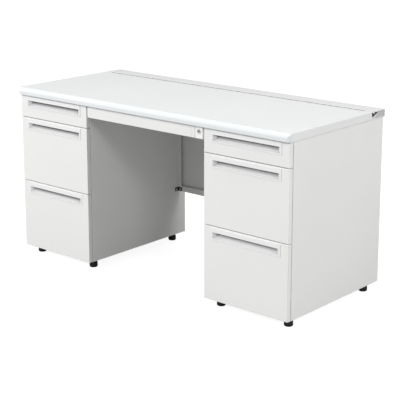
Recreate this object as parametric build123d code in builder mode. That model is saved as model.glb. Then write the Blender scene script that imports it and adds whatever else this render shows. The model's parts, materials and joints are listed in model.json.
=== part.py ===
"""Double pedestal teacher's desk in painted sheet steel with a laminated worktop, in millimetres.

Origin on the floor under the middle of the desk: +X to the user's right, +Y to the back, +Z up.
Every drawer slides out along -Y. The cable duct lid along the back edge turns on a pin at each end.
"""

import os

from build123d import *

os.makedirs("parts", exist_ok=True)

# ------------------------------------------------------------------ driving dimensions
WIDTH, DEPTH, HEIGHT = 1400.0, 600.0, 720.0
TOP_T = 30.0  # worktop thickness
SIDE_OVERHANG = 5.0  # worktop beyond each pedestal's outer side
NOSE_OVERHANG = 13.0  # worktop beyond the drawer fronts
REAR_OVERHANG = 1.5  # worktop beyond the pedestal backs
PED_W = 390.0
PED_BOTTOM = 37.0  # underside of the pedestals above the floor
SHEET = 1.0  # folded sheet steel
RAIL_T = 1.2  # thicker sheet of rails, posts and slides
FRONT_T = 18.0  # depth of a drawer front
FRONT_GAP = 2.0  # between a closed front and the carcass

# ------------------------------------------------------------------ levels and planes
TOP_UNDER = HEIGHT - TOP_T
FRONT_Y = -DEPTH / 2 + NOSE_OVERHANG
FRONT_BACK = FRONT_Y + FRONT_T
CARCASS_FRONT = FRONT_BACK + FRONT_GAP
CARCASS_REAR = DEPTH / 2 - REAR_OVERHANG
PED_X = WIDTH / 2 - SIDE_OVERHANG - PED_W / 2  # middle of each pedestal
KNEE_X = PED_X - PED_W / 2  # inner face of each pedestal
SIDES = {"left": -1, "right": 1}

# drawer fronts from the top: low and high edge, then the tray's low and high edge
FRONTS = {
    "top": (597.5, 689.2, 610.0, 668.0),
    "middle": (325.5, 594.5, 340.0, 560.0),
    "file": (PED_BOTTOM, 322.5, 64.0, 300.0),
}
FRONT_W = PED_W - 3.0
TRAY_W = 320.0
TRAY_LENGTH = {"top": 480.0, "middle": 500.0, "file": 520.0}

# carcass folds
FRONT_RETURN = 22.0
RETURN = 15.0
POST_DEPTH = 30.0
RAIL_HALF = PED_W / 2 - FRONT_RETURN  # cross rails reach the front returns
POST_X = RAIL_HALF + 0.3  # slide mounting plane from the pedestal's middle
RAIL_Y = 20.0  # depth of the cross rails
RAIL_Z = 16.0  # height of the cross rails

# levelling feet
FOOT_IN_X, FOOT_FRONT, FOOT_REAR = 38.0, 58.0, 45.0
PAD_R, PAD_H, PAD_ROUND = 17.0, 22.0, 5.0
HEX_AF, HEX_H = 17.0, 6.0
STUD_R, STUD_TOP = 5.0, 53.0
BOSS_R, BOSS_TOP = 10.0, 56.0
RUNNING = 0.1  # radial clearance of a turning fit

# handle insert, measured down from the top edge of its drawer front
BEZEL_W, BEZEL_PROUD = 318.0, 2.0
BEZEL_TOP, BEZEL_LOW = 4.0, 50.0
SCOOP_TOP, SCOOP_LOW = 21.5, 45.0
BEZEL_SIDE = 7.5  # flat margin at each end of the scoop
SCOOP_DEPTH, SCOOP_END = 17.0, 20.0  # depth, and how far each end wall leans in
CUP_WALL = 1.5
POCKET_TOP, POCKET_LIP = 13.0, 4.0  # finger pocket behind the top lip
WINDOW_LOW = 28.0  # the pocket's open back, which lets the moulding tool form the lip

# rear cable duct
DUCT_FRONT = 210.0
CAP_W, CAP_SLANT = 33.0, 14.0
LID_T, LID_FRONT, LID_END_GAP = 2.0, 223.5, 1.5
KNUCKLE_R, PIN_R, PIN_LENGTH = 3.2, 2.0, 8.0
KNUCKLE_Y, KNUCKLE_Z = DEPTH / 2 - 3.8, HEIGHT - KNUCKLE_R

# centre drawer and lock
CENTRE_LOW, CENTRE_HIGH = 642.0, 689.2
CENTRE_LEFT, CENTRE_RIGHT = -300.5, 262.0
CENTRE_CAP = 14.0
LOCK_LEFT, LOCK_RIGHT = 263.5, 300.0
LOCK_X, LOCK_Z = 282.0, 670.0

# modesty panel
MODESTY_LOW, MODESTY_Y = 232.0, 268.0
HEM_DEPTH, HEM_H = 14.0, 24.0
MODESTY_RETURN = 15.0


# ------------------------------------------------------------------ helpers
def block(x, y, z, mode=Mode.ADD):
    """A box between two limits along each axis."""
    with Locations([((x[0] + x[1]) / 2, (y[0] + y[1]) / 2, (z[0] + z[1]) / 2)]):
        Box(abs(x[1] - x[0]), abs(y[1] - y[0]), abs(z[1] - z[0]), mode=mode)


def along_x(radius, x, y, z, mode=Mode.ADD):
    """A round bar lying along X between two limits."""
    with Locations([((x[0] + x[1]) / 2, y, z)]):
        Cylinder(radius, abs(x[1] - x[0]), rotation=(0, 90, 0), mode=mode)


def along_y(radius, x, y, z, mode=Mode.ADD):
    """A round bar lying along Y between two limits."""
    with Locations([(x, (y[0] + y[1]) / 2, z)]):
        Cylinder(radius, abs(y[1] - y[0]), rotation=(90, 0, 0), mode=mode)


def upright(radius, x, y, z, mode=Mode.ADD):
    """A round bar standing along Z between two limits."""
    with Locations([(x, y, (z[0] + z[1]) / 2)]):
        Cylinder(radius, abs(z[1] - z[0]), mode=mode)


def save(builder, name):
    builder.part.label = name
    export_step(builder.part, f"parts/{name}.step")


# ------------------------------------------------------------------ worktop
SCREW_R, SCREW_HEAD_R, SCREW_HEAD, SCREW_BITE = 2.5, 5.0, 3.5, 16.0
RAIL_SCREWS = [
    (side * PED_X + across, y)
    for side in SIDES.values()
    for across in (-120.0, 120.0)
    for y in (CARCASS_FRONT + RAIL_Y / 2, CARCASS_REAR - SHEET * 2 - RAIL_Y / 2)
]
TRIM_DEPTH = 25.0
BAND_T = 2.0
CORNER_Y = DUCT_FRONT - CAP_SLANT  # where the end caps' front edge meets the side


def cap_outline():
    """Plan of the right-hand duct end cap, with its slanting front edge."""
    inner, outer = WIDTH / 2 - CAP_W, WIDTH / 2
    Polyline((inner, DUCT_FRONT), (outer, CORNER_Y), (outer, DEPTH / 2), (inner, DEPTH / 2), close=True)


def cap_places():
    """The two end caps' places, to be taken out of the worktop."""
    with BuildPart() as places:
        with BuildSketch(Plane.XY.offset(TOP_UNDER)):
            with BuildLine():
                cap_outline()
            make_face()
            mirror(about=Plane.YZ)
        extrude(amount=TOP_T)
    return places.part


def worktop_panel():
    half = WIDTH / 2 - BAND_T
    places = cap_places()
    with BuildPart() as panel:
        block((-half, half), (-DEPTH / 2 + TRIM_DEPTH, DUCT_FRONT), (TOP_UNDER, HEIGHT))
        add(places, mode=Mode.SUBTRACT)
        for x, y in RAIL_SCREWS:
            if y < DUCT_FRONT:
                upright(SCREW_R + 0.05, x, y, (TOP_UNDER, TOP_UNDER + SCREW_BITE), Mode.SUBTRACT)
    save(panel, "worktop_panel")


def worktop_front_trim():
    """Rounded front edge, full width, with a large top radius, a small one below and rounded corners in plan."""
    front, back = -DEPTH / 2, -DEPTH / 2 + TRIM_DEPTH
    top_r, low_r, plan_r = 18.0, 1.5, 15.0
    with BuildPart() as trim:
        with BuildSketch(Plane.YZ.offset(-WIDTH / 2)):
            with BuildLine():
                Line((back, TOP_UNDER), (back, HEIGHT))
                Line((back, HEIGHT), (front + top_r, HEIGHT))
                RadiusArc((front + top_r, HEIGHT), (front, HEIGHT - top_r), -top_r)
                Line((front, HEIGHT - top_r), (front, TOP_UNDER + low_r))
                RadiusArc((front, TOP_UNDER + low_r), (front + low_r, TOP_UNDER), -low_r)
                Line((front + low_r, TOP_UNDER), (back, TOP_UNDER))
            make_face()
        extrude(amount=WIDTH)
        with BuildSketch(Plane.XY.offset(TOP_UNDER)):
            with Locations((0, (front + back) / 2)):
                plan = Rectangle(WIDTH, back - front)
            fillet(plan.vertices().group_by(Axis.Y)[0], plan_r)
        extrude(amount=TOP_T, mode=Mode.INTERSECT)
    save(trim, "worktop_front_trim")


def worktop_side_bands():
    """Thin edge band on each end of the board."""
    places = cap_places()
    with BuildPart() as bands:
        for side in SIDES.values():
            edge = side * WIDTH / 2
            block((edge, edge - side * BAND_T), (-DEPTH / 2 + TRIM_DEPTH, DUCT_FRONT), (TOP_UNDER, HEIGHT))
        add(places, mode=Mode.SUBTRACT)
        top_edges = bands.edges().filter_by(Axis.Y).filter_by_position(Axis.Z, HEIGHT - 0.1, HEIGHT + 0.1)
        fillet([top_edges.sort_by(Axis.X)[0], top_edges.sort_by(Axis.X)[-1]], 1.2)
    save(bands, "worktop_side_bands")


# ------------------------------------------------------------------ cable duct
WALL_TOP_REAR, WALL_TOP_FRONT = HEIGHT - 8.0, HEIGHT - 1.0
OUTLET_L, OUTLET_W, OUTLET_X, OUTLET_Y = 90.0, 30.0, 180.0, 236.0
CLIP_GAP = 0.2


def duct_channel():
    """Open trough behind the board, with two cable outlets over the kneehole: a floor and two clip-on walls."""
    half = WIDTH / 2 - CAP_W
    wall_low = TOP_UNDER + RAIL_T + CLIP_GAP
    with BuildPart() as channel:
        block((-half, half), (DUCT_FRONT, DEPTH / 2), (TOP_UNDER, TOP_UNDER + RAIL_T))
        block((-half, half), (DUCT_FRONT, DUCT_FRONT + RAIL_T), (wall_low, WALL_TOP_FRONT))
        block((-half, half), (DEPTH / 2 - RAIL_T, DEPTH / 2), (wall_low, WALL_TOP_REAR))
        with BuildSketch(Plane.XY.offset(TOP_UNDER)):
            with Locations((-OUTLET_X, OUTLET_Y), (OUTLET_X, OUTLET_Y)):
                SlotOverall(OUTLET_L, OUTLET_W)
        extrude(amount=RAIL_T, mode=Mode.SUBTRACT)
        for x, y in RAIL_SCREWS:
            if y > DUCT_FRONT:
                upright(SCREW_R + 0.05, x, y, (TOP_UNDER, TOP_UNDER + RAIL_T), Mode.SUBTRACT)
    save(channel, "cable_duct_channel")


def duct_end_caps():
    """Moulded caps, hollow towards the trough, each with a three-sided cable exit in its outer wall."""
    wall, outer_wall = 3.0, 7.0
    recess = 3.5  # sunk panel behind the exit
    pillar = 10.0  # solid rear part that carries the lid's pin
    inner, outer = WIDTH / 2 - CAP_W, WIDTH / 2
    with BuildPart() as caps:
        with BuildSketch(Plane.XY.offset(TOP_UNDER)):
            with BuildLine():
                cap_outline()
            make_face()
        extrude(amount=TOP_T)
        rim = caps.faces().sort_by(Axis.Z)[-1].edges().filter_by_position(Axis.X, outer - 0.1, outer + 0.1)
        fillet(rim, 1.6)
        with BuildSketch(Plane.XY.offset(TOP_UNDER + wall)):
            with BuildLine():
                Polyline(
                    (inner, DUCT_FRONT + wall + 0.5),
                    (outer - outer_wall, CORNER_Y + wall + 2.5),
                    (outer - outer_wall, DEPTH / 2 - pillar),
                    (inner, DEPTH / 2 - pillar),
                    close=True,
                )
            make_face()
        extrude(amount=TOP_T - 2 * wall - 1.5, mode=Mode.SUBTRACT)
        # the exit: upright front edge, level top with a round tab, and a slope rising to the back
        with BuildSketch(Plane.YZ.offset(outer - outer_wall - 0.5)):
            with BuildLine():
                Polyline((210.5, HEIGHT - 3.5), (214.5, HEIGHT - 25.0), (266.0, HEIGHT - 3.5), close=True)
            make_face()
            with Locations((224.5, HEIGHT - 4.5)):
                Circle(4.5, mode=Mode.SUBTRACT)
        extrude(amount=outer_wall + 1, mode=Mode.SUBTRACT)
        with BuildSketch(Plane.YZ.offset(outer - recess)):
            with BuildLine():
                Polyline(
                    (222.0, HEIGHT - 27.5), (270.0, HEIGHT - 2.5), (DEPTH / 2 - 3, HEIGHT - 2.5),
                    (DEPTH / 2 - 3, HEIGHT - 27.5), close=True,
                )
            make_face()
        extrude(amount=recess + 1, mode=Mode.SUBTRACT)
        along_x(PIN_R + RUNNING, (inner, inner + PIN_LENGTH + 1.5), KNUCKLE_Y, KNUCKLE_Z, Mode.SUBTRACT)
        mirror(about=Plane.YZ)
    save(caps, "duct_end_caps")


def duct_lid():
    """Flat lid that stops short of the board, leaving a cable slot, with a rear knuckle that ends in two pins."""
    half = WIDTH / 2 - CAP_W - LID_END_GAP
    rib_h = 1.2
    with BuildPart() as lid:
        block((-half, half), (LID_FRONT, KNUCKLE_Y), (HEIGHT - LID_T, HEIGHT))
        front_top = lid.edges().filter_by(Axis.X).group_by(Axis.Z)[-1].sort_by(Axis.Y)[0]
        fillet(front_top, 0.8)
        for y in (LID_FRONT + 14.0, LID_FRONT + 38.0):
            block((-half, half), (y - 1.5, y + 1.5), (HEIGHT - LID_T - rib_h, HEIGHT - LID_T))
        along_x(KNUCKLE_R, (-half, half), KNUCKLE_Y, KNUCKLE_Z)
        along_x(PIN_R, (-half - PIN_LENGTH, half + PIN_LENGTH), KNUCKLE_Y, KNUCKLE_Z)
    save(lid, "duct_lid")


# ------------------------------------------------------------------ pedestals
def pedestal_side(name, face, inward, screw_spots=()):
    """Folded side: skin, wide front return, narrow top, bottom and rear returns."""
    with BuildPart() as panel:
        block((face, face + inward * FRONT_RETURN), (CARCASS_FRONT, CARCASS_REAR), (PED_BOTTOM, TOP_UNDER))
        block(
            (face + inward * SHEET, face + inward * (FRONT_RETURN + 1)),
            (CARCASS_FRONT + SHEET, CARCASS_REAR - SHEET),
            (PED_BOTTOM + SHEET, TOP_UNDER - SHEET),
            Mode.SUBTRACT,
        )
        block(
            (face + inward * RETURN, face + inward * (FRONT_RETURN + 1)),
            (CARCASS_FRONT + SHEET, CARCASS_REAR + 1),
            (PED_BOTTOM - 1, TOP_UNDER + 1),
            Mode.SUBTRACT,
        )
        folds = panel.edges().filter_by(Axis.Z).filter_by_position(Axis.X, face - 0.1, face + 0.1)
        fillet(folds, 2.2)
        for y, z in screw_spots:
            along_x(SCREW_R + 0.1, (face - 1, face + 2), y, z, Mode.SUBTRACT)
    save(panel, name)


def pedestal_backs():
    half = PED_W / 2 - SHEET - 0.5
    with BuildPart() as backs:
        for side in SIDES.values():
            middle = side * PED_X
            block(
                (middle - half, middle + half),
                (CARCASS_REAR - 2 * SHEET, CARCASS_REAR - SHEET),
                (PED_BOTTOM + 2 * SHEET, TOP_UNDER - SHEET),
            )
    save(backs, "pedestal_backs")


def foot_spots(middle):
    across = PED_W / 2 - FOOT_IN_X
    return [
        (middle + dx, y)
        for dx in (-across, across)
        for y in (FRONT_Y + FOOT_FRONT, CARCASS_REAR - FOOT_REAR)
    ]


def pedestal_base(name, middle):
    """Floor plate with a threaded boss over each levelling foot."""
    half = PED_W / 2 - SHEET
    low = PED_BOTTOM + SHEET
    with BuildPart() as base:
        block((middle - half, middle + half), (CARCASS_FRONT + SHEET, CARCASS_REAR - SHEET), (low, low + SHEET))
        for x, y in foot_spots(middle):
            upright(BOSS_R, x, y, (low, BOSS_TOP))
        for x, y in foot_spots(middle):
            upright(STUD_R + RUNNING, x, y, (low - 1, BOSS_TOP + 1), Mode.SUBTRACT)
    save(base, name)


def channel(x, y, z, open_to, mode=Mode.ADD):
    """Bar of thin channel section in a box: open_to names the box side without a wall, its ends are open too."""
    block(x, y, z, mode)
    spans = {"x": list(x), "y": list(y), "z": list(z)}
    lengths = {axis: abs(span[1] - span[0]) for axis, span in spans.items()}
    run = max(lengths, key=lengths.get)
    for axis, span in spans.items():
        low, high = sorted(span)
        if axis == run:
            spans[axis] = (low - 1, high + 1)
        elif axis == open_to[1]:
            spans[axis] = (low - 1, high - RAIL_T) if open_to[0] == "-" else (low + RAIL_T, high + 1)
        else:
            spans[axis] = (low + RAIL_T, high - RAIL_T)
    block(spans["x"], spans["y"], spans["z"], Mode.SUBTRACT)


def pedestal_frame(name, middle):
    """Four slide posts, the two rails between the drawer fronts and the two rails under the worktop."""
    rear_rail = CARCASS_REAR - 2 * SHEET
    skin = PED_W / 2 - SHEET
    post_low, post_high = PED_BOTTOM + 2 * SHEET, TOP_UNDER - SHEET
    pieces = []
    for side in SIDES.values():
        for y0 in (CARCASS_FRONT + SHEET, rear_rail - RAIL_Y - POST_DEPTH - 0.3):
            x = (middle + side * POST_X, middle + side * skin)
            pieces.append((x, (y0, y0 + POST_DEPTH), (post_low, post_high), "+x" if side > 0 else "-x"))
    span = (middle - RAIL_HALF, middle + RAIL_HALF)
    for gap in ((FRONTS["top"][0] + FRONTS["middle"][1]) / 2, (FRONTS["middle"][0] + FRONTS["file"][1]) / 2):
        z = (gap - RAIL_Z / 2, gap + RAIL_Z / 2)
        pieces.append((span, (CARCASS_FRONT, CARCASS_FRONT + RAIL_Y), z, "+y"))
    wide = (middle - skin, middle + skin)
    pieces.append((span, (CARCASS_FRONT, CARCASS_FRONT + RAIL_Y), (TOP_UNDER - RAIL_Z, TOP_UNDER), "-z"))
    pieces.append((wide, (rear_rail - RAIL_Y, rear_rail), (TOP_UNDER - SHEET - RAIL_Z, TOP_UNDER - SHEET), "-z"))
    shapes = []
    for x, y, z, open_to in pieces:
        with BuildPart() as piece:
            channel(x, y, z, open_to)
            for sx, sy in RAIL_SCREWS:
                if open_to == "-z" and abs(sx - middle) < PED_W / 2 and y[0] < sy < y[1]:
                    upright(SCREW_R + 0.1, sx, sy, (z[1] - 2 * RAIL_T, z[1] + 1), Mode.SUBTRACT)
        shapes.append(piece.part)
    with BuildPart() as frame:
        for shape in shapes:
            add(shape)
    save(frame, name)


# ------------------------------------------------------------------ drawer slides
SLIDE_LENGTH = 480.0
SLIDE_FRONT = CARCASS_FRONT + 6.0
SLIDE_T = POST_X - TRAY_W / 2  # room between the mounting plane and the tray
# centre height and height of the fixed channel of each drawer
SLIDES = {"top": (654.0, 10.0), "middle": (400.0, 36.0), "file": (130.0, 46.0)}
BALL_GAP = 2.0  # between nested channels, where the balls run


def nested(middle, side, level, height, near, far, y):
    """One channel of a slide as its x, y and z limits, between two distances from the pedestal's middle."""
    return (
        (middle + side * near, middle + side * far),
        y,
        (level - height / 2, level + height / 2),
    )


def slide_channels():
    """Fixed members of all twelve slides, screwed to the posts and open towards the trays."""
    shapes = []
    for side_name, ped in SIDES.items():
        for level, height in SLIDES.values():
            for side in SIDES.values():
                limits = nested(
                    ped * PED_X, side, level, height, POST_X - SLIDE_T + 2.0, POST_X,
                    (SLIDE_FRONT, SLIDE_FRONT + SLIDE_LENGTH),
                )
                with BuildPart() as piece:
                    channel(*limits, "-x" if side > 0 else "+x")
                shapes.append(piece.part)
    with BuildPart() as group:
        for shape in shapes:
            add(shape)
    save(group, "drawer_slide_channels")


def slide_middles(side_name):
    """Middle members of the file drawer's two three-part slides."""
    level, height = SLIDES["file"]
    height -= 2 * (RAIL_T + BALL_GAP)
    shapes = []
    for side in SIDES.values():
        limits = nested(
            SIDES[side_name] * PED_X, side, level, height, POST_X - SLIDE_T + 2.6, POST_X - RAIL_T - 1.2,
            (SLIDE_FRONT, SLIDE_FRONT + SLIDE_LENGTH - 20),
        )
        with BuildPart() as piece:
            channel(*limits, "-x" if side > 0 else "+x")
        shapes.append(piece.part)
    with BuildPart() as group:
        for shape in shapes:
            add(shape)
    save(group, f"{side_name}_file_slide_middles")


def slide_runners(side_name, drawer):
    """Moving members fixed to the tray's sides, open towards the carcass."""
    level, height = SLIDES[drawer]
    nest = 2 if drawer == "file" else 1
    height -= nest * 2 * (RAIL_T + BALL_GAP)
    far = POST_X - 2 * RAIL_T - 2.4 if drawer == "file" else POST_X - RAIL_T - 1.4
    shapes = []
    for side in SIDES.values():
        limits = nested(
            SIDES[side_name] * PED_X, side, level, height, TRAY_W / 2, far,
            (SLIDE_FRONT, SLIDE_FRONT + SLIDE_LENGTH),
        )
        with BuildPart() as piece:
            channel(*limits, "+x" if side > 0 else "-x")
        shapes.append(piece.part)
    with BuildPart() as group:
        for shape in shapes:
            add(shape)
    save(group, f"{side_name}_{drawer}_drawer_runners")


# ------------------------------------------------------------------ drawers
HEM = 6.0  # folded-in top edge of a tray
GLIDE_H = 6.4  # edge fold of the top tray that runs in its channel


def drawer_tray(side_name, drawer):
    """Open sheet tray with a folded-in rim. The shallow top tray carries its own side glides."""
    middle = SIDES[side_name] * PED_X
    low, high = FRONTS[drawer][2:]
    y = (FRONT_BACK, FRONT_BACK + TRAY_LENGTH[drawer])
    half = TRAY_W / 2
    with BuildPart() as tray:
        block((middle - half, middle + half), y, (low, high))
        block(
            (middle - half + SHEET, middle + half - SHEET), (y[0] + SHEET, y[1] - SHEET), (low + SHEET, high - SHEET),
            Mode.SUBTRACT,
        )
        block(
            (middle - half + HEM, middle + half - HEM), (y[0] + HEM, y[1] - HEM), (high - 2 * SHEET, high + 1),
            Mode.SUBTRACT,
        )
        corners = tray.edges().filter_by(Axis.Z).filter_by_position(Axis.Y, y[1] - 0.1, y[1] + 0.1)
        fillet(corners, 1.8)
        if drawer == "top":
            level = SLIDES["top"][0]
            for side in SIDES.values():
                edge = middle + side * half
                glide = (edge, edge + side * (SLIDE_T - RAIL_T - 1.4))
                block(glide, (SLIDE_FRONT, SLIDE_FRONT + SLIDE_LENGTH - 20), (level - GLIDE_H / 2, level + GLIDE_H / 2))
    save(tray, f"{side_name}_{drawer}_drawer_tray")


def drawer_front(side_name, drawer):
    """Hollow folded front with a cut-out for the handle insert and an opening behind, which the tray closes."""
    middle = SIDES[side_name] * PED_X
    low, high, tray_low, tray_high = FRONTS[drawer]
    half = FRONT_W / 2
    with BuildPart() as front:
        block((middle - half, middle + half), (FRONT_Y, FRONT_BACK), (low, high))
        fillet(front.faces().sort_by(Axis.Y)[0].edges(), 1.5)
        block(
            (middle - half + SHEET, middle + half - SHEET), (FRONT_Y + SHEET, FRONT_BACK - SHEET),
            (low + SHEET, high - SHEET), Mode.SUBTRACT,
        )
        rim = 10.0
        block(
            (middle - TRAY_W / 2 + rim, middle + TRAY_W / 2 - rim), (FRONT_BACK - 2 * SHEET, FRONT_BACK + 1),
            (tray_low + rim, tray_high - rim), Mode.SUBTRACT,
        )
        cut = BEZEL_W / 2 - BEZEL_SIDE + 0.2
        block(
            (middle - cut, middle + cut), (FRONT_Y - 1, FRONT_Y + 2 * SHEET),
            (high - BEZEL_LOW + 1.6, high - POCKET_TOP + CUP_WALL + 0.5), Mode.SUBTRACT,
        )
    save(front, f"{side_name}_{drawer}_drawer_front")


def hollow_form(middle, top, grow, front, roof):
    """Body of the scoop, or of its cup when grown: a round profile between end walls that lean in."""
    face = FRONT_Y - BEZEL_PROUD
    rise = SCOOP_LOW - SCOOP_TOP
    radius = (SCOOP_DEPTH ** 2 + rise ** 2) / (2 * SCOOP_DEPTH)
    centre_y, centre_z = face + SCOOP_DEPTH - radius, top - SCOOP_TOP
    radius += grow
    rear = centre_y + radius
    low = centre_z - (radius ** 2 - (front - centre_y) ** 2) ** 0.5
    mouth = BEZEL_W / 2 - BEZEL_SIDE + grow
    lean = SCOOP_END / SCOOP_DEPTH
    with BuildPart() as body:
        with BuildSketch(Plane.YZ.offset(middle - mouth)):
            with BuildLine():
                back_wall = [(rear, roof)] if roof > centre_z else []
                Polyline((rear, centre_z), *back_wall, (front, roof), (front, low))
                RadiusArc((front, low), (rear, centre_z), -radius)
            make_face()
        extrude(amount=2 * mouth)
        with BuildSketch(Plane.XY.offset(top - BEZEL_LOW)):
            with BuildLine():
                wide = mouth - (front - face) * lean
                deep = mouth - (rear - face) * lean
                Polyline(
                    (middle - wide, front), (middle + wide, front), (middle + deep, rear), (middle - deep, rear),
                    close=True,
                )
            make_face()
        extrude(amount=BEZEL_LOW, mode=Mode.INTERSECT)
    return body.part


def drawer_handle(side_name, drawer):
    """Moulded pull: flat bezel, a round scoop, and a finger pocket behind the top lip."""
    middle = SIDES[side_name] * PED_X
    top = FRONTS[drawer][1]
    face = FRONT_Y - BEZEL_PROUD
    half = BEZEL_W / 2
    deep = half - BEZEL_SIDE - SCOOP_END
    cup = hollow_form(middle, top, CUP_WALL, FRONT_Y - 0.5, top - POCKET_TOP + CUP_WALL)
    scoop = hollow_form(middle, top, 0.0, face - 0.01, top - SCOOP_TOP)
    with BuildPart() as handle:
        block((middle - half, middle + half), (face, FRONT_Y), (top - BEZEL_LOW, top - BEZEL_TOP))
        fillet(handle.faces().sort_by(Axis.Y)[0].edges(), 0.9)
        add(cup)
        add(scoop, mode=Mode.SUBTRACT)
        block(
            (middle - deep, middle + deep), (face + POCKET_LIP, face + SCOOP_DEPTH),
            (top - SCOOP_TOP - 1, top - POCKET_TOP), Mode.SUBTRACT,
        )
        block(
            (middle - deep + 3, middle + deep - 3), (face + SCOOP_DEPTH - 3, face + SCOOP_DEPTH + CUP_WALL + 1),
            (top - WINDOW_LOW, top - POCKET_TOP - 1), Mode.SUBTRACT,
        )
    save(handle, f"{side_name}_{drawer}_drawer_handle")


# ------------------------------------------------------------------ centre drawer
CENTRE_TRAY = (-284.0, 243.0)
CENTRE_TRAY_Z = (646.0, 673.0)
CENTRE_TRAY_LENGTH = 380.0
CENTRE_FLANGE = 8.0
CENTRE_RAIL_LENGTH = 400.0


def centre_front():
    """Folded front between its two end caps, open behind where the tray closes it."""
    x = (CENTRE_LEFT + CENTRE_CAP, CENTRE_RIGHT - CENTRE_CAP)
    lip = 8.0
    with BuildPart() as front:
        block(x, (FRONT_Y, FRONT_BACK), (CENTRE_LOW, CENTRE_HIGH))
        long_edges = front.faces().sort_by(Axis.Y)[0].edges().filter_by(Axis.X)
        fillet(long_edges, 1.8)
        block(
            (x[0] - 1, x[1] + 1), (FRONT_Y + SHEET, FRONT_BACK - SHEET), (CENTRE_LOW + SHEET, CENTRE_HIGH - SHEET),
            Mode.SUBTRACT,
        )
        block(
            (x[0] - 1, x[1] + 1), (FRONT_BACK - 2 * SHEET, FRONT_BACK + 1), (CENTRE_LOW + lip, CENTRE_TRAY_Z[1] - 1),
            Mode.SUBTRACT,
        )
    save(front, "centre_drawer_front")


def centre_end_caps():
    """Solid moulded end of the front at each side."""
    with BuildPart() as caps:
        for x in ((CENTRE_LEFT, CENTRE_LEFT + CENTRE_CAP), (CENTRE_RIGHT - CENTRE_CAP, CENTRE_RIGHT)):
            block(x, (FRONT_Y, FRONT_BACK), (CENTRE_LOW, CENTRE_HIGH))
        outer = caps.edges().filter_by_position(Axis.Y, FRONT_Y - 0.1, FRONT_Y + 0.1)
        fillet(outer.filter_by(Axis.X), 1.8)
        ends = caps.edges().filter_by(Axis.Z).filter_by_position(Axis.Y, FRONT_Y - 0.1, FRONT_Y + 0.1)
        chamfer(ends, 0.6)
    save(caps, "centre_drawer_end_caps")


def centre_tray():
    """Shallow pencil tray whose side flanges run in the two rails."""
    x, z = CENTRE_TRAY, CENTRE_TRAY_Z
    y = (FRONT_BACK, FRONT_BACK + CENTRE_TRAY_LENGTH)
    with BuildPart() as tray:
        block(x, y, z)
        block((x[0] + SHEET, x[1] - SHEET), (y[0] + SHEET, y[1] - SHEET), (z[0] + SHEET, z[1] + 1), Mode.SUBTRACT)
        run = (y[0] + 8, y[1])
        block((x[0] - CENTRE_FLANGE, x[0]), run, (z[1] - 1.5, z[1]))
        block((x[1], x[1] + CENTRE_FLANGE), run, (z[1] - 1.5, z[1]))
    save(tray, "centre_drawer_tray")


def centre_rails():
    """Two channels under the worktop, open towards the tray."""
    y = (SLIDE_FRONT, SLIDE_FRONT + CENTRE_RAIL_LENGTH)
    z = (CENTRE_TRAY_Z[1] - 1.5 - 0.6 - RAIL_T, TOP_UNDER)
    reach = 10.2
    left = CENTRE_TRAY[0] - CENTRE_FLANGE - 1.5 - RAIL_T
    right = CENTRE_TRAY[1] + CENTRE_FLANGE + 1.5 + RAIL_T
    shapes = []
    for x, open_to in (((left, left + reach), "+x"), ((right - reach, right), "-x")):
        with BuildPart() as piece:
            channel(x, y, z, open_to)
        shapes.append(piece.part)
    with BuildPart() as rails:
        for shape in shapes:
            add(shape)
    save(rails, "centre_drawer_rails")


# ------------------------------------------------------------------ lock
BARREL_R, BARREL_FLANGE_R, PLUG_R = 8.5, 9.8, 5.0
BARREL_REAR = FRONT_Y + 25.0
CAM_Y = (BARREL_REAR + 1.5, BARREL_REAR + 3.5)
TAIL = 6.0  # square tail of the plug


def lock_panel():
    """Fixed filler beside the centre drawer, hung from a flange under the worktop."""
    x, skin = (LOCK_LEFT, LOCK_RIGHT), 2.0
    with BuildPart() as panel:
        block(x, (FRONT_Y, FRONT_BACK), (CENTRE_LOW, CENTRE_HIGH))
        fillet(panel.faces().sort_by(Axis.Y)[0].edges(), 1.5)
        block(
            (x[0] + SHEET, x[1] - SHEET), (FRONT_Y + skin, FRONT_BACK + 1), (CENTRE_LOW + SHEET, CENTRE_HIGH - SHEET),
            Mode.SUBTRACT,
        )
        block((x[0] + 4, x[1] - 4), (FRONT_BACK - 1.5, FRONT_BACK), (CENTRE_HIGH - SHEET, TOP_UNDER))
        block((x[0] + 4, x[1] - 4), (FRONT_BACK - 1.5, FRONT_BACK + 28), (TOP_UNDER - 1.5, TOP_UNDER))
        along_y(BARREL_R + 0.1, LOCK_X, (FRONT_Y - 1, FRONT_Y + 5), LOCK_Z, Mode.SUBTRACT)
    save(panel, "lock_panel")


def lock_barrel():
    with BuildPart() as barrel:
        along_y(BARREL_R, LOCK_X, (FRONT_Y, BARREL_REAR), LOCK_Z)
        along_y(BARREL_FLANGE_R, LOCK_X, (FRONT_Y - 1.5, FRONT_Y), LOCK_Z)
        rim = barrel.edges().filter_by(GeomType.CIRCLE).sort_by(Axis.Y)[0]
        fillet(rim, 0.7)
        along_y(PLUG_R + RUNNING, LOCK_X, (FRONT_Y - 5, BARREL_REAR + 1), LOCK_Z, Mode.SUBTRACT)
    save(barrel, "lock_barrel")


def lock_nut():
    """Hexagon nut that clamps the barrel from behind."""
    with BuildPart() as nut:
        with BuildSketch(Plane.XZ.offset(-(FRONT_Y + 2.0))):
            with Locations((LOCK_X, LOCK_Z)):
                RegularPolygon(11.0, 6, major_radius=False)
                Circle(BARREL_R, mode=Mode.SUBTRACT)
        extrude(amount=-4.0)
    save(nut, "lock_nut")


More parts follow.
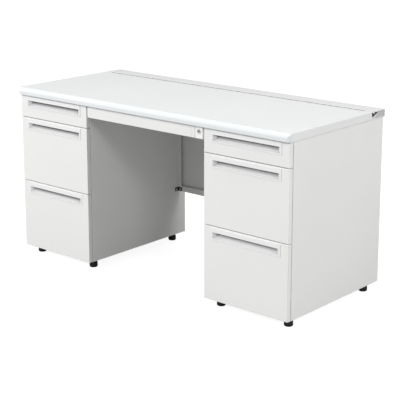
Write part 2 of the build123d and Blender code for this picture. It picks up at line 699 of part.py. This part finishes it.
def lock_plug():
    """Turning core with a key slot in front and a square tail for the cam."""
    with BuildPart() as plug:
        along_y(PLUG_R, LOCK_X, (FRONT_Y - 2.0, BARREL_REAR + 1.5), LOCK_Z)
        half = TAIL / 2
        block((LOCK_X - half, LOCK_X + half), (BARREL_REAR + 1.5, CAM_Y[1] + 2.5), (LOCK_Z - half, LOCK_Z + half))
        block((LOCK_X - 0.8, LOCK_X + 0.8), (FRONT_Y - 3, FRONT_Y + 6), (LOCK_Z - 3.6, LOCK_Z + 3.6), Mode.SUBTRACT)
    save(plug, "lock_plug")


def lock_cam():
    """Flat lever on the plug's tail, hanging down when unlocked."""
    reach, width = 18.0, 14.0
    with BuildPart() as cam:
        with BuildSketch(Plane.XZ.offset(-CAM_Y[0])):
            with Locations((LOCK_X, LOCK_Z)):
                Circle(width / 2)
            with Locations((LOCK_X, LOCK_Z - (reach - width / 2) / 2)):
                Rectangle(width, reach - width / 2)
            with Locations((LOCK_X, LOCK_Z - reach + width / 2)):
                Circle(width / 2)
            with Locations((LOCK_X, LOCK_Z)):
                Rectangle(TAIL, TAIL, mode=Mode.SUBTRACT)
        extrude(amount=-(CAM_Y[1] - CAM_Y[0]))
    save(cam, "lock_cam")


# ------------------------------------------------------------------ modesty panel
BRACKET_T, BRACKET_LEG = 2.0, 19.5
BRACKET_Z = (MODESTY_LOW + 1.0, MODESTY_LOW + 17.0)
HEM_FRONT = MODESTY_Y - HEM_DEPTH
BRACKET_SCREW = (HEM_FRONT - 15.3, (BRACKET_Z[0] + BRACKET_Z[1]) / 2)  # clear of the rear post
BRACKET_SCREW_X = KNEE_X - BRACKET_T - 11.0
END_LIP = 17.0  # forward-facing lip at each end of the modesty panel


def modesty_panel():
    """Sheet between the pedestals with folded ends, a top return and a J-shaped bottom hem."""
    x = (-KNEE_X, KNEE_X)
    with BuildPart() as panel:
        block(x, (MODESTY_Y, MODESTY_Y + SHEET), (MODESTY_LOW, TOP_UNDER))
        block(x, (MODESTY_Y - MODESTY_RETURN, MODESTY_Y), (TOP_UNDER - SHEET, TOP_UNDER))
        for side in SIDES.values():
            edge = side * KNEE_X
            block((edge, edge - side * SHEET), (HEM_FRONT, MODESTY_Y), (MODESTY_LOW, TOP_UNDER))
            block((edge, edge - side * END_LIP), (HEM_FRONT, HEM_FRONT + SHEET), (MODESTY_LOW, TOP_UNDER))
        block(x, (HEM_FRONT, MODESTY_Y), (MODESTY_LOW, MODESTY_LOW + SHEET))
        block(x, (HEM_FRONT, HEM_FRONT + SHEET), (MODESTY_LOW, MODESTY_LOW + HEM_H))
        for side in SIDES.values():
            along_y(SCREW_R + 0.1, side * BRACKET_SCREW_X, (HEM_FRONT - 1, HEM_FRONT + 2), BRACKET_SCREW[1],
                    Mode.SUBTRACT)
    save(panel, "modesty_panel")


def modesty_brackets():
    """L bracket at each lower corner, tying the hem to the pedestal's inner side."""
    y = (HEM_FRONT - BRACKET_T - BRACKET_LEG, HEM_FRONT)
    with BuildPart() as brackets:
        for side in SIDES.values():
            wall = side * KNEE_X
            block((wall, wall - side * BRACKET_T), y, BRACKET_Z)
            block((wall, wall - side * (BRACKET_T + BRACKET_LEG)), (HEM_FRONT - BRACKET_T, HEM_FRONT), BRACKET_Z)
            along_x(SCREW_R + 0.1, (wall + side, wall - side * 3), BRACKET_SCREW[0], BRACKET_SCREW[1], Mode.SUBTRACT)
            along_y(SCREW_R + 0.1, side * BRACKET_SCREW_X, (HEM_FRONT - 3, HEM_FRONT + 1), BRACKET_SCREW[1],
                    Mode.SUBTRACT)
    save(brackets, "modesty_brackets")


def assembly_screws():
    """Worktop screws under the pedestals' top rails, and the four screws of the modesty brackets."""
    with BuildPart() as screws:
        for x, y in RAIL_SCREWS:
            web = TOP_UNDER - RAIL_T if y < DUCT_FRONT else TOP_UNDER - SHEET - RAIL_T
            tip = TOP_UNDER + SCREW_BITE - 1 if y < DUCT_FRONT else TOP_UNDER + RAIL_T + 3
            upright(SCREW_HEAD_R, x, y, (web - SCREW_HEAD, web))
            upright(SCREW_R, x, y, (web, tip))
        for side in SIDES.values():
            head = side * (KNEE_X - BRACKET_T)
            y, z = BRACKET_SCREW
            along_x(SCREW_HEAD_R, (head, head - side * 3), y, z)
            along_x(SCREW_R, (head, head + side * 8), y, z)
            hem = HEM_FRONT - BRACKET_T
            along_y(SCREW_HEAD_R, side * BRACKET_SCREW_X, (hem - 3, hem), z)
            along_y(SCREW_R, side * BRACKET_SCREW_X, (hem, hem + 8), z)
    save(screws, "assembly_screws")


# ------------------------------------------------------------------ levelling feet
def levelling_foot(name, x, y):
    """Round pad, spanner hexagon and stud, in one piece."""
    with BuildPart() as foot:
        with BuildSketch(Plane((x, y, 0), x_dir=(1, 0, 0), z_dir=(0, -1, 0))):
            with BuildLine():
                Line((0, 0), (PAD_R - PAD_ROUND, 0))
                RadiusArc((PAD_R - PAD_ROUND, 0), (PAD_R, PAD_ROUND), -PAD_ROUND)
                Line((PAD_R, PAD_ROUND), (PAD_R - 0.5, PAD_H - 1.5))
                Line((PAD_R - 0.5, PAD_H - 1.5), (PAD_R - 2.5, PAD_H))
                Line((PAD_R - 2.5, PAD_H), (0, PAD_H))
                Line((0, PAD_H), (0, 0))
            make_face()
        revolve(axis=Axis((x, y, 0), (0, 0, 1)))
        with BuildSketch(Plane.XY.offset(PAD_H)):
            with Locations((x, y)):
                RegularPolygon(HEX_AF / 2, 6, major_radius=False)
        extrude(amount=HEX_H)
        upright(STUD_R, x, y, (PAD_H + HEX_H, STUD_TOP))
        chamfer(foot.edges().group_by(Axis.Z)[-1], 0.8)
    save(foot, name)


# ------------------------------------------------------------------ build everything
worktop_panel()
worktop_front_trim()
worktop_side_bands()
duct_channel()
duct_end_caps()
duct_lid()
pedestal_backs()
centre_front()
centre_end_caps()
centre_tray()
centre_rails()
lock_panel()
lock_barrel()
lock_nut()
lock_plug()
lock_cam()
modesty_panel()
modesty_brackets()
assembly_screws()
slide_channels()
for side_name, side in SIDES.items():
    middle = side * PED_X
    pedestal_side(f"{side_name}_pedestal_outer_side", side * (KNEE_X + PED_W), -side)
    pedestal_side(f"{side_name}_pedestal_inner_side", side * KNEE_X, side, [BRACKET_SCREW])
    pedestal_base(f"{side_name}_pedestal_base", middle)
    pedestal_frame(f"{side_name}_pedestal_frame", middle)
    slide_middles(side_name)
    for drawer in FRONTS:
        drawer_front(side_name, drawer)
        drawer_handle(side_name, drawer)
        drawer_tray(side_name, drawer)
        if drawer != "top":
            slide_runners(side_name, drawer)
    for (x, y), corner in zip(foot_spots(middle), ("front_left", "rear_left", "front_right", "rear_right")):
        levelling_foot(f"{side_name}_foot_{corner}", x, y)
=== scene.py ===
"""Looks of the double pedestal teacher's desk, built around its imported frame.

Metres, +Z up, the drawers face -Y. At rest a CAD piece's object position is also its place in the desk.
"""
import json
import math

import bmesh
import bpy
from mathutils import Matrix, Vector


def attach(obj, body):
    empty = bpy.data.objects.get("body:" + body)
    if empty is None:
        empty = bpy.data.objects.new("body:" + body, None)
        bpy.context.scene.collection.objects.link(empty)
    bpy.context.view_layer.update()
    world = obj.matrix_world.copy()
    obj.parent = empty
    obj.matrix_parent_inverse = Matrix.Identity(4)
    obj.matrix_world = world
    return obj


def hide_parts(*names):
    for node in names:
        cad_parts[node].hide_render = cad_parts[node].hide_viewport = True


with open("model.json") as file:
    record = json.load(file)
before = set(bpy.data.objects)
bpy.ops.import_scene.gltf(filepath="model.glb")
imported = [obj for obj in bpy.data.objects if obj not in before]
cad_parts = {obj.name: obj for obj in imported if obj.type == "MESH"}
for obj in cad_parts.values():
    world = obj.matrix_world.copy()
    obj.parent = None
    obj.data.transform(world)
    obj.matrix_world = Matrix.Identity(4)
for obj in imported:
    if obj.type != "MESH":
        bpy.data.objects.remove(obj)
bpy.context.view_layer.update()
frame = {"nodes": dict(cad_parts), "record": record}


# ------------------------------------------------------------------ camera
SENSOR_MM = 36.0
LENS_MM = 106.25
SHIFT = -0.15
CAMERA_PLACE = (3.0232, -3.4526, 1.5852)
CAMERA_DOWN = 0.2226  # radians below level
CAMERA_TURN = 0.7127  # radians to the left of straight at the desk's front


def make_camera():
    data = bpy.data.cameras.new("desk_camera")
    data.sensor_width = SENSOR_MM
    data.lens = LENS_MM
    data.shift_y = SHIFT
    data.dof.use_dof = False
    camera = bpy.data.objects.new("desk_camera", data)
    camera.location = CAMERA_PLACE
    camera.rotation_euler = (math.pi / 2 - CAMERA_DOWN, 0.0, CAMERA_TURN)
    bpy.context.collection.objects.link(camera)
    bpy.context.scene.camera = camera


# ------------------------------------------------------------------ materials
BEVEL_SAMPLES = 6
HOLLOW_SAMPLES = 12
MOTTLE = 0.012        # how much lighter and darker the blotches of a coated surface are
COAT_ROUGH = 0.25


class Nodes:
    """Small helper that adds and joins shader nodes."""

    def __init__(self, name):
        self.material = bpy.data.materials.new(name)
        self.material.use_nodes = True
        self.tree = self.material.node_tree
        self.shader = self.tree.nodes["Principled BSDF"]
        self.coords = self.add("ShaderNodeTexCoord").outputs["Object"]

    def add(self, kind, **settings):
        node = self.tree.nodes.new(kind)
        for key, value in settings.items():
            setattr(node, key, value)
        return node

    def join(self, output, socket):
        self.tree.links.new(output, socket)

    def noise(self, scale, detail=2.0, rough=0.5, stretch=None):
        """A noise value with features 1/scale metres wide, squeezed along the axes of stretch."""
        node = self.add("ShaderNodeTexNoise")
        node.inputs["Scale"].default_value = scale
        node.inputs["Detail"].default_value = detail
        node.inputs["Roughness"].default_value = rough
        if stretch:
            mapping = self.add("ShaderNodeMapping")
            mapping.inputs["Scale"].default_value = stretch
            self.join(self.coords, mapping.inputs["Vector"])
            self.join(mapping.outputs["Vector"], node.inputs["Vector"])
        else:
            self.join(self.coords, node.inputs["Vector"])
        return node.outputs["Fac"]

    def remap(self, value, low, high, out_low, out_high):
        """Value moved from the range low to high onto out_low to out_high, and clamped to it."""
        node = self.add("ShaderNodeMapRange")
        names = ("From Min", "From Max", "To Min", "To Max")
        for key, number in zip(names, (low, high, out_low, out_high)):
            node.inputs[key].default_value = number
        self.join(value, node.inputs["Value"])
        return node.outputs["Result"]

    def math(self, operation, a, b):
        node = self.add("ShaderNodeMath", operation=operation)
        for socket, value in zip(node.inputs, (a, b)):
            if isinstance(value, (int, float)):
                socket.default_value = value
            else:
                self.join(value, socket)
        return node.outputs["Value"]

    def mix(self, fac, a, b):
        """Colour a where fac is 0 and b where it is 1. Either can be a colour or a node's output."""
        node = self.add("ShaderNodeMix", data_type="RGBA")
        self.join(fac, node.inputs["Factor"])
        for socket, value in zip((node.inputs[6], node.inputs[7]), (a, b)):
            if isinstance(value, tuple):
                socket.default_value = (*value, 1.0)
            else:
                self.join(value, socket)
        return node.outputs[2]

    def rounded(self, radius):
        """Normal that rounds sharp folds, and a mask that is 1 along them."""
        bevel = self.add("ShaderNodeBevel", samples=BEVEL_SAMPLES)
        bevel.inputs["Radius"].default_value = radius
        plain = self.add("ShaderNodeNewGeometry").outputs["Normal"]
        dot = self.add("ShaderNodeVectorMath", operation="DOT_PRODUCT")
        self.join(bevel.outputs["Normal"], dot.inputs[0])
        self.join(plain, dot.inputs[1])
        mask = self.remap(dot.outputs["Value"], 0.995, 0.75, 0.0, 1.0)
        return bevel.outputs["Normal"], mask

    def crevices(self, distance, low, high):
        """1 out in the open and 0 deep inside a hollow of the piece itself, where it is in shade."""
        node = self.add("ShaderNodeAmbientOcclusion", samples=HOLLOW_SAMPLES, only_local=True)
        node.inputs["Distance"].default_value = distance
        return self.remap(node.outputs["AO"], low, high, 0.0, 1.0)

    def within(self, limits):
        """1 where the object position is within the limits along each axis, else 0. X is mirrored."""
        split = self.add("ShaderNodeSeparateXYZ")
        self.join(self.coords, split.inputs["Vector"])
        mask = None
        for axis, (low, high) in limits.items():
            value = split.outputs[axis]
            if axis == "X":
                value = self.math("ABSOLUTE", value, 0.0)
            above = self.math("GREATER_THAN", value, low)
            below = self.math("LESS_THAN", value, high)
            inside = self.math("MULTIPLY", above, below)
            mask = inside if mask is None else self.math("MULTIPLY", mask, inside)
        return mask

    def tint(self, mask, colour):
        """Changes the finished base colour to another one where the mask is 1."""
        socket = self.shader.inputs["Base Color"]
        self.join(self.mix(mask, socket.links[0].from_socket, colour), socket)

    def bump(self, height, distance, strength, normal):
        node = self.add("ShaderNodeBump")
        node.inputs["Distance"].default_value = distance
        node.inputs["Strength"].default_value = strength
        self.join(height, node.inputs["Height"])
        self.join(normal, node.inputs["Normal"])
        return node.outputs["Normal"]


def scaled(colour, factor):
    return tuple(min(c * factor, 1.0) for c in colour)


def coated(name, colour, rough, grain, grain_depth, edge=0.0012, wear_and_highlight=1.04, specular=0.5, coat=0.0,
           hollow=None):
    """A painted, laminated or moulded surface: slight mottling, grain in relief, and polished folds,
    lightened partly by wear and partly by a painted highlight.

    Grain is in lumps to the metre, edge is the radius of the folds, and the factor after it scales the
    colour along them, partly as wear and partly as a painted highlight. Hollow is the reach of the
    painted shade in the piece's own hollows, and its colour.
    """
    n = Nodes(name)
    normal, folds = n.rounded(edge)
    large = n.noise(2.3, 3.0)
    medium = n.noise(31.0, 4.0, 0.6)
    blotches = n.remap(large, 0.35, 0.65, 0.0, 1.0)
    body = n.mix(blotches, scaled(colour, 1.0 - MOTTLE), scaled(colour, 1.0 + MOTTLE))
    speck = n.mix(n.remap(n.noise(grain * 0.6, 2.0), 0.62, 0.75, 0.0, 0.35), body, scaled(colour, 0.94))
    # painted highlight, partly wear: the folds are drawn lighter than the body
    worn_and_highlit = n.math("MULTIPLY", folds, n.remap(n.noise(55.0, 3.0, 0.7), 0.35, 0.7, 0.25, 0.9))
    finish = n.mix(worn_and_highlit, speck, scaled(colour, wear_and_highlight))
    # painted shade: darker in the piece's own hollows
    if hollow:
        reach, shade = hollow
        finish = n.mix(n.crevices(reach, 0.25, 0.85), shade, finish)
    n.join(finish, n.shader.inputs["Base Color"])
    spread = n.math("ADD", n.remap(medium, 0.3, 0.7, -0.05, 0.05), rough)
    n.join(n.math("SUBTRACT", spread, n.math("MULTIPLY", folds, 0.06)), n.shader.inputs["Roughness"])
    n.join(n.bump(n.noise(grain, 3.0, 0.55), grain_depth, 0.35, normal), n.shader.inputs["Normal"])
    n.shader.inputs["Specular IOR Level"].default_value = specular
    n.shader.inputs["Coat Weight"].default_value = coat
    n.shader.inputs["Coat Roughness"].default_value = COAT_ROUGH
    return n


def metal(name, colour, rough, stretch, depth=0.00004):
    """Plated or polished metal with drawn lines along one axis, a blotchy sheen, and folds drawn
    lighter as a painted highlight.
    """
    n = Nodes(name)
    normal, folds = n.rounded(0.0006)
    lines = n.noise(1.0, 5.0, 0.65, stretch)
    spangle = n.remap(n.noise(46.0, 3.0, 0.6), 0.35, 0.65, 0.0, 1.0)
    sheen = n.mix(spangle, scaled(colour, 0.88), scaled(colour, 1.07))
    # painted highlight: the folds are lighter than the body
    edges = n.math("MULTIPLY", folds, 0.5)
    n.join(n.mix(edges, sheen, scaled(colour, 1.25)), n.shader.inputs["Base Color"])
    n.join(n.math("ADD", n.remap(lines, 0.3, 0.7, -0.07, 0.07), rough), n.shader.inputs["Roughness"])
    n.join(n.bump(lines, depth, 0.4, normal), n.shader.inputs["Normal"])
    n.shader.inputs["Metallic"].default_value = 1.0
    return n


PULL_WHITE = (0.82, 0.82, 0.82)
CORNER_SHADE = (0.20, 0.20, 0.21)
CORNER_REACH = 0.03
DEPTH_SHADE = (0.12, 0.12, 0.122)
DEPTH_STRENGTH = 0.88
SCOOP_SHALLOW, SCOOP_DEEP = -0.2796, -0.2730  # along Y, where the shade starts and is fullest


def handle_plastic():
    """The pulls, with painted shade: their scoops darken with depth as well as in the corners."""
    n = coated("handle_moulding", PULL_WHITE, 0.40, 1000.0, 0.00005, 0.0009,
               hollow=(CORNER_REACH, CORNER_SHADE))
    split = n.add("ShaderNodeSeparateXYZ")
    n.join(n.coords, split.inputs["Vector"])
    # painted shade: darker the deeper into the scoop
    n.tint(n.remap(split.outputs["Y"], SCOOP_SHALLOW, SCOOP_DEEP, 0.0, DEPTH_STRENGTH), DEPTH_SHADE)
    return n


DUCT_WHITE = (0.74, 0.735, 0.745)
CAP_WHITE = (0.76, 0.755, 0.76)
# painted shade: the grey of the sunk panel in the duct ends, where its top lip shades it
SUNK_PANEL_SHADE = (0.50, 0.495, 0.50)
# painted shade: black where the inside of the duct lies in shade
PAINTED_SHADE_BLACK = (0.008, 0.008, 0.008)
# where the trough's ends are painted black as shade
TROUGH_END = {"X": (0.655, 0.670), "Y": (0.19, 0.30), "Z": (0.680, 0.7175)}
# where the sunk panel is painted grey as shade
CAP_SUNK_PANEL = {"X": (0.6933, 0.6969), "Y": (0.2235, 0.2969), "Z": (0.6900, 0.7180)}
# where the inside of a duct end is painted black as shade
CAP_INSIDE_SHADE = {"X": (0.6671, 0.6932), "Y": (0.19, 0.2902), "Z": (0.6928, 0.7157)}


def trough_plastic():
    """The cable trough, with painted shade: black where its ends, which lie in shade, can be seen
    through the cable exits.
    """
    n = coated("trough_plastic", DUCT_WHITE, 0.48, 850.0, 0.00008)
    n.tint(n.within(TROUGH_END), PAINTED_SHADE_BLACK)
    return n


def cap_plastic():
    """The duct ends, with painted shade: black inside, and grey on the sunk panel behind the cable
    exit.
    """
    n = coated("duct_end_moulding", CAP_WHITE, 0.48, 850.0, 0.00008)
    n.tint(n.within(CAP_SUNK_PANEL), SUNK_PANEL_SHADE)
    n.tint(n.within(CAP_INSIDE_SHADE), PAINTED_SHADE_BLACK)
    return n


PAINT = (0.80, 0.806, 0.79)
DRAWN_LINES = (260.0, 7.0, 260.0)     # long along Y
POLISHED = (420.0, 420.0, 420.0)

MATERIALS = {
    "steel_paint": coated("powder_coated_steel", PAINT, 0.46, 720.0, 0.00012),
    "laminate": coated("melamine_laminate", (0.82, 0.83, 0.83), 0.40, 1300.0, 0.00005, 0.0008, 1.01,
                       coat=0.05),
    "edge_trim": coated("extruded_edging", (0.735, 0.756, 0.762), 0.55, 900.0, 0.00004, 0.0012, 1.01,
                        specular=0.15),
    "duct_plastic": coated("duct_plastic", DUCT_WHITE, 0.48, 850.0, 0.00008),
    "trim_plastic": coated("white_moulding", (0.80, 0.805, 0.795), 0.42, 950.0, 0.00006),
    "handle_plastic": handle_plastic(),
    "dark_steel": coated("blackened_steel", (0.035, 0.034, 0.033), 0.5, 600.0, 0.0001, 0.0008, 2.4),
    "foot_plastic": coated("black_moulding", (0.012, 0.012, 0.013), 0.42, 800.0, 0.0001, 0.001, 2.2),
    "zinc_steel": metal("zinc_plated_steel", (0.60, 0.61, 0.63), 0.36, DRAWN_LINES),
    "chrome": metal("satin_nickel", (0.88, 0.88, 0.90), 0.42, POLISHED, 0.00002),
}

# nodes whose looks differ from the rest of their slot
SPECIAL = {
    "duct_end_caps": cap_plastic(),
    "cable_duct_channel": trough_plastic(),
    "worktop_side_bands": coated("side_banding", (0.765, 0.775, 0.765), 0.50, 900.0, 0.00004, 0.0012,
                                 1.01),
    "lock_panel": coated("lock_panel_moulding", (0.87, 0.875, 0.86), 0.42, 950.0, 0.00006),
    "lock_plug": metal("lock_core_metal", (0.34, 0.33, 0.33), 0.35, POLISHED, 0.00002),
}


def dress_cad():
    slot_of = {s["node"]: s["material_slot"] for s in frame["record"]["subparts"]}
    for node, piece in frame["nodes"].items():
        for slot in piece.material_slots:
            slot.material = SPECIAL.get(node, MATERIALS[slot_of[node]]).material


# ------------------------------------------------------------------ small pieces
WELD = 1e-6                     # points of the CAD mesh closer than this are one
SHARP = math.radians(40)        # folds steeper than this stay sharp in a smooth piece


def islands(node):
    """The separate solids of a CAD node, each as a list of its points."""
    form = bmesh.new()
    form.from_mesh(frame["nodes"][node].data)
    bmesh.ops.remove_doubles(form, verts=form.verts, dist=WELD)
    left, found = set(form.verts), []
    while left:
        stack, group = [left.pop()], []
        while stack:
            vertex = stack.pop()
            group.append(vertex.co.copy())
            for edge in vertex.link_edges:
                other = edge.other_vert(vertex)
                if other in left:
                    left.remove(other)
                    stack.append(other)
        found.append(group)
    form.free()
    return sorted(found, key=lambda g: tuple(round(sum(p[i] for p in g) / len(g), 5) for i in range(3)))


def spans(points):
    """The lowest and highest value along each axis."""
    return [(min(p[i] for p in points), max(p[i] for p in points)) for i in range(3)]


def finished(name, form, slot, node=None):
    """Turns a bmesh into a piece of the carcass in a slot's material, which may stand for a node."""
    mesh = bpy.data.meshes.new(name)
    form.to_mesh(mesh)
    form.free()
    mesh.shade_smooth()
    mesh.set_sharp_from_angle(angle=SHARP)
    piece = bpy.data.objects.new(name, mesh)
    bpy.context.collection.objects.link(piece)
    mesh.materials.append(MATERIALS[slot].material)
    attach(piece, "carcass")
    if node:
        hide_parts(node)


def lathe(form, profile, count, place):
    """Rings of points round Z from a profile of radius and height. Gives the first ring."""
    turns = [2 * math.pi * i / count for i in range(count)]
    rings = []
    for radius, z in profile:
        spots = [Vector((radius * math.cos(a), radius * math.sin(a), z)) for a in turns]
        rings.append([form.verts.new(place @ spot) for spot in spots])
    for one, two in zip(rings, rings[1:]):
        for i in range(count):
            j = (i + 1) % count
            form.faces.new((one[i], one[j], two[j], two[i]))
    form.faces.new(rings[-1])
    return rings[0]


HEAD_RADIUS = 0.005
SHAFT_RADIUS = 0.0025
CORE_RADIUS = 0.8 * SHAFT_RADIUS      # between the ridges of the thread
TIP_RADIUS = 0.45 * SHAFT_RADIUS
THREAD_PITCH = 0.0012
PLAIN_SHAFT = 0.001                   # without ridges, under the head and at the tip
HEAD_SIDES = 28
HEAD_ONLY = 0.004                     # only a plain screw's head reaches further from its axis


def cross_headed(form, place, head_h, length):
    """A pan-head screw, head up: cross recess, rounded rim, ridged shaft and a blunt tip."""
    profile = [(0.66 * HEAD_RADIUS, head_h), (0.84 * HEAD_RADIUS, 0.93 * head_h),
               (0.96 * HEAD_RADIUS, 0.72 * head_h), (HEAD_RADIUS, 0.4 * head_h),
               (HEAD_RADIUS, 0.0), (SHAFT_RADIUS, 0.0)]
    for k in range(int((length - 3 * PLAIN_SHAFT) / THREAD_PITCH)):
        z = -PLAIN_SHAFT - k * THREAD_PITCH
        profile += [(SHAFT_RADIUS, z), (CORE_RADIUS, z - 0.5 * THREAD_PITCH)]
    profile += [(CORE_RADIUS, -length + PLAIN_SHAFT), (TIP_RADIUS, -length)]
    top = lathe(form, profile, HEAD_SIDES, place)
    a, b = 0.46 * HEAD_RADIUS, 0.12 * HEAD_RADIUS
    cross = [(a, b), (b, b), (b, a), (-b, a), (-b, b), (-a, b),
             (-a, -b), (-b, -b), (-b, -a), (b, -a), (b, -b), (a, -b)]
    rim = [form.verts.new(place @ Vector((x, y, head_h))) for x, y in cross]
    pit = [form.verts.new(place @ Vector((0.7 * x, 0.7 * y, 0.35 * head_h))) for x, y in cross]
    loops = []
    for ring in (top, rim):
        for i, vertex in enumerate(ring):
            other = ring[(i + 1) % len(ring)]
            loops.append(form.edges.get((vertex, other)) or form.edges.new((vertex, other)))
    bmesh.ops.triangle_fill(form, use_beauty=True, edges=loops)
    for i in range(len(cross)):
        j = (i + 1) % len(cross)
        form.faces.new((rim[i], rim[j], pit[j], pit[i]))
    form.faces.new(pit)


def assembly_screws():
    """Cross-headed screws in place of the plain ones, found from where the plain ones stand."""
    form = bmesh.new()
    for points in islands("assembly_screws"):
        box = spans(points)
        middle = Vector([(low + high) / 2 for low, high in box])
        sizes = [high - low for low, high in box]
        # the screw's axis is the one whose size is unlike the other two
        axis = max(range(3), key=lambda i: sum(abs(sizes[i] - sizes[(i + k) % 3]) for k in (1, 2)))
        head = []
        for point in points:
            aside = point - middle
            aside[axis] = 0
            if aside.length > HEAD_ONLY:
                head.append(point[axis])
        up = Vector((0, 0, 0))
        up[axis] = 1.0 if sum(head) / len(head) > middle[axis] else -1.0
        seat = middle.copy()
        seat[axis] = min(head) if up[axis] > 0 else max(head)
        turn = up.to_track_quat("Z", "Y").to_matrix().to_4x4()
        head_h = max(head) - min(head)
        cross_headed(form, Matrix.Translation(seat) @ turn, head_h, sizes[axis] - head_h)
    bmesh.ops.recalc_face_normals(form, faces=form.faces)
    finished("cross_headed_screws", form, "zinc_steel", "assembly_screws")


CHANNEL_WALL = 0.0012
CHANNEL_MIN_HEIGHT = 0.02     # lower ones are the plain slides of the top drawers
RACE_GAP = 0.0020             # between a channel and the member that runs in it
BALL_COUNT, BALL_PITCH, BALL_PLAY = 9, 0.0095, 0.00005
CAGE_WIDTH, CAGE_SHEET, CAGE_ROUNDING = 0.0052, 0.0006, 0.00018
CAGE_SET_BACK = 0.004


def ball_cages():
    """Balls in their steel cages between the fixed channels and the members that run in them."""
    cages, balls = bmesh.new(), bmesh.new()
    long = BALL_COUNT * BALL_PITCH
    ball_radius = RACE_GAP / 2 - BALL_PLAY
    for points in islands("drawer_slide_channels"):
        (x0, x1), (y0, _), (z0, z1) = spans(points)
        if z1 - z0 < CHANNEL_MIN_HEIGHT:
            continue
        x = (x0 + x1) / 2
        start = y0 + CAGE_SET_BACK
        for z in (z0 + CHANNEL_WALL + RACE_GAP / 2, z1 - CHANNEL_WALL - RACE_GAP / 2):
            cage = bmesh.ops.create_cube(cages, size=1.0)["verts"]
            bmesh.ops.scale(cages, vec=(CAGE_WIDTH, long, CAGE_SHEET), verts=cage)
            bmesh.ops.translate(cages, vec=(x, start + long / 2, z), verts=cage)
            edges = list({e for v in cage for e in v.link_edges})
            bmesh.ops.bevel(cages, geom=edges, offset=CAGE_ROUNDING, segments=2, affect="EDGES")
            for k in range(BALL_COUNT):
                ball = bmesh.ops.create_icosphere(balls, subdivisions=2, radius=ball_radius)["verts"]
                bmesh.ops.translate(balls, vec=(x, start + (k + 0.5) * BALL_PITCH, z), verts=ball)
    finished("slide_ball_cages", cages, "zinc_steel")
    finished("slide_balls", balls, "chrome")


# ------------------------------------------------------------------ studio
AMBIENT = 0.37        # light from the white surroundings, which the camera sees at full white
FLOOR_GLOW = 0.90     # seen by the camera only, so that it casts no light
FLOOR_HALF = 40.0

# name, place, aim, size, watts
LIGHTS = [
    ("key_front_left", (-3.6, -6.5, 4.3), (0.0, -0.2, 0.4), (3.9, 3.0), 552.0),
    ("fill_right", (4.6, 0.6, 2.4), (0.7, 0.0, 0.4), (2.2, 2.2), 103.0),
    ("fill_knee", (4.2, -2.6, 3.2), (0.0, -0.2, 0.3), (1.2, 1.0), 44.0),
    ("top_soft", (0.0, 0.2, 4.4), (0.0, 0.0, 0.7), (3.2, 2.4), 41.0),
]


def area_light(name, place, aim, size, watts):
    data = bpy.data.lights.new(name, "AREA")
    data.shape = "RECTANGLE"
    data.size, data.size_y = size
    data.energy = watts
    lamp = bpy.data.objects.new(name, data)
    lamp.location = place
    lamp.rotation_euler = (Vector(aim) - Vector(place)).to_track_quat("-Z", "Y").to_euler()
    bpy.context.collection.objects.link(lamp)


def make_surroundings():
    """A world that the camera sees as white and that lights the desk only gently."""
    world = bpy.data.worlds.new("studio")
    world.use_nodes = True
    tree = world.node_tree
    background = tree.nodes["Background"]
    background.inputs["Color"].default_value = (1.0, 1.0, 1.0, 1.0)
    seen = tree.nodes.new("ShaderNodeLightPath").outputs["Is Camera Ray"]
    strength = tree.nodes.new("ShaderNodeMapRange")
    strength.inputs["To Min"].default_value = AMBIENT
    tree.links.new(seen, strength.inputs["Value"])
    tree.links.new(strength.outputs["Result"], background.inputs["Strength"])
    bpy.context.scene.world = world


def make_floor():
    mesh = bpy.data.meshes.new("studio_floor")
    r = FLOOR_HALF
    mesh.from_pydata([(-r, -r, 0), (r, -r, 0), (r, r, 0), (-r, r, 0)], [], [(0, 1, 2, 3)])
    floor = bpy.data.objects.new("studio_floor", mesh)
    bpy.context.collection.objects.link(floor)
    n = Nodes("studio_floor")
    pale = n.mix(n.remap(n.noise(0.7), 0.3, 0.7, 0.0, 1.0), (0.30, 0.30, 0.30), (0.32, 0.32, 0.32))
    n.join(pale, n.shader.inputs["Base Color"])
    n.shader.inputs["Roughness"].default_value = 0.9
    n.shader.inputs["Specular IOR Level"].default_value = 0.1
    n.shader.inputs["Emission Color"].default_value = (1.0, 1.0, 1.0, 1.0)
    seen = n.add("ShaderNodeLightPath").outputs["Is Camera Ray"]
    n.join(n.math("MULTIPLY", seen, FLOOR_GLOW), n.shader.inputs["Emission Strength"])
    mesh.materials.append(n.material)


def make_studio():
    """White surroundings, a pale floor and four soft lamps."""
    bpy.context.scene.view_settings.view_transform = "Standard"
    make_surroundings()
    make_floor()
    for light in LIGHTS:
        area_light(*light)


make_camera()
dress_cad()
assembly_screws()
ball_cages()
make_studio()
